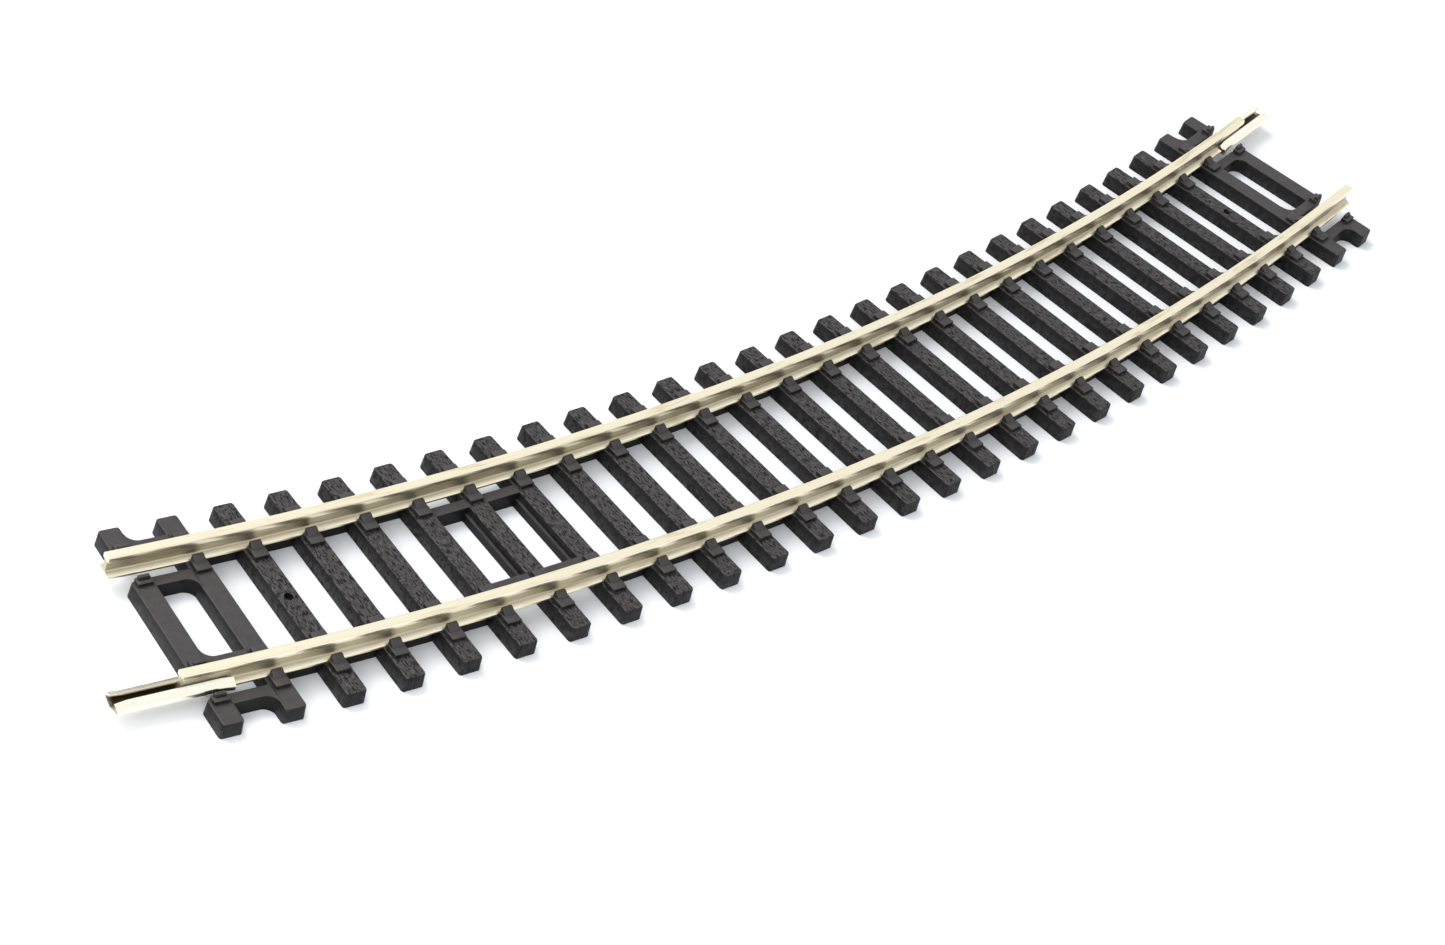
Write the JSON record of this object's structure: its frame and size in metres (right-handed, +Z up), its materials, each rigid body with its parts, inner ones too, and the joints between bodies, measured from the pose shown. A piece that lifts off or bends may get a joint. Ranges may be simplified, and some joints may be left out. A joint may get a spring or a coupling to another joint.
{
  "type": "curved model railway track section",
  "caption": "Curved section of model railway track: a black moulded sleeper base with chairs, two flat-bottomed metal rails and a folded sheet-metal joiner at each end.",
  "frame": {"origin": "middle of the section's box, on the surface that it lies on", "axes": "+X along the section from its left end to its right end, +Y towards the inside of the curve, +Z up"},
  "size_m": [0.2122, 0.0388, 0.0045],
  "materials": {
    "base": "satin black moulding, wood grain on the sleeper tops",
    "rail": "drawn nickel silver, bright running surface",
    "joiner": "bright nickel-silver sheet"
  },
  "bodies": {
    "track": {"sleeper_01": "base", "sleeper_02": "base", "sleeper_03": "base", "sleeper_04": "base", "sleeper_05": "base", "sleeper_06": "base", "sleeper_07": "base", "sleeper_08": "base", "sleeper_09": "base", "sleeper_10": "base", "sleeper_11": "base", "sleeper_12": "base", "sleeper_13": "base", "sleeper_14": "base", "sleeper_15": "base", "sleeper_16": "base", "sleeper_17": "base", "sleeper_18": "base", "sleeper_19": "base", "sleeper_20": "base", "sleeper_21": "base", "sleeper_22": "base", "sleeper_23": "base", "sleeper_24": "base", "sleeper_25": "base", "sleeper_26": "base", "sleeper_27": "base", "sleeper_28": "base", "left_end_strips": "base", "right_end_strips": "base", "outer_ribs": "base", "inner_ribs": "base", "outer_clip_strips": "base", "inner_clip_strips": "base", "clip_ledges": "base", "outer_rail_1": "rail", "outer_rail_2": "rail", "outer_rail_3": "rail", "outer_rail_4": "rail", "outer_rail_5": "rail", "outer_rail_6": "rail", "outer_rail_7": "rail", "inner_rail_1": "rail", "inner_rail_2": "rail", "inner_rail_3": "rail", "inner_rail_4": "rail", "inner_rail_5": "rail", "inner_rail_6": "rail", "inner_rail_7": "rail"},
    "outer_joiner": {"outer_joiner": "joiner"},
    "inner_joiner": {"inner_joiner": "joiner"}
  },
  "joints": [
    {"name": "outer_joiner_slide", "type": "slide", "parent": "track", "child": "outer_joiner", "axis": [-0.9819, 0.1893, 0], "range_m": [-0.0032, 0.0056]},
    {"name": "inner_joiner_slide", "type": "slide", "parent": "track", "child": "inner_joiner", "axis": [0.982, 0.1891, 0], "range_m": [-0.0028, 0.0056]}
  ]
}
